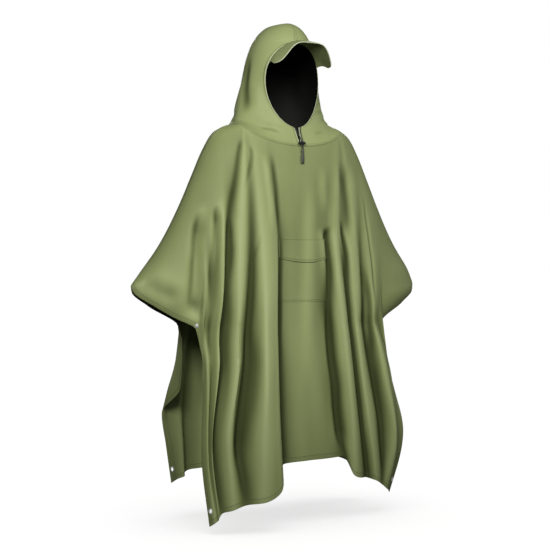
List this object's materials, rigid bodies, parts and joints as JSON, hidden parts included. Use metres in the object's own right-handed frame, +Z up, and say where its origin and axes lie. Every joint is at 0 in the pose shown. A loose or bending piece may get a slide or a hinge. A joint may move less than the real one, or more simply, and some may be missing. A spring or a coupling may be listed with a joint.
{
  "type": "hooded rain poncho",
  "caption": "Hooded rain poncho with a peaked hood, chest pocket with flap, side snaps, corner eyelets and a hood drawcord, draped as worn.",
  "frame": {"origin": "middle of the neck seam at shoulder height, where the wearer's shoulders carry the poncho", "axes": "+Z up, +X towards the wearer's left, -Y out of the garment's front"},
  "size_m": [1.075, 0.4788, 1.6036],
  "materials": {
    "olive_cloth": "satin coated",
    "lining_black": "matt",
    "snap_metal": "bright",
    "cord_black": "braided",
    "trim_black": "moulded",
    "cord_end_grey": "moulded"
  },
  "bodies": {
    "root": {"front_panel": "olive_cloth", "back_panel": "olive_cloth", "pocket": "olive_cloth", "pocket_flap": "olive_cloth", "hood_right": "olive_cloth", "hood_left": "olive_cloth", "hood_visor": "olive_cloth", "hood_lining_right": "lining_black", "hood_lining_left": "lining_black", "front_snap_right": "snap_metal", "front_snap_left": "snap_metal", "front_eyelet_right": "snap_metal", "front_eyelet_left": "snap_metal", "back_snap_right": "snap_metal", "back_snap_left": "snap_metal", "back_eyelet_right": "snap_metal", "back_eyelet_left": "snap_metal", "drawcord_right": "cord_black", "drawcord_left": "cord_black", "cord_lock": "trim_black", "cord_end": "cord_end_grey"}
  },
  "joints": []
}
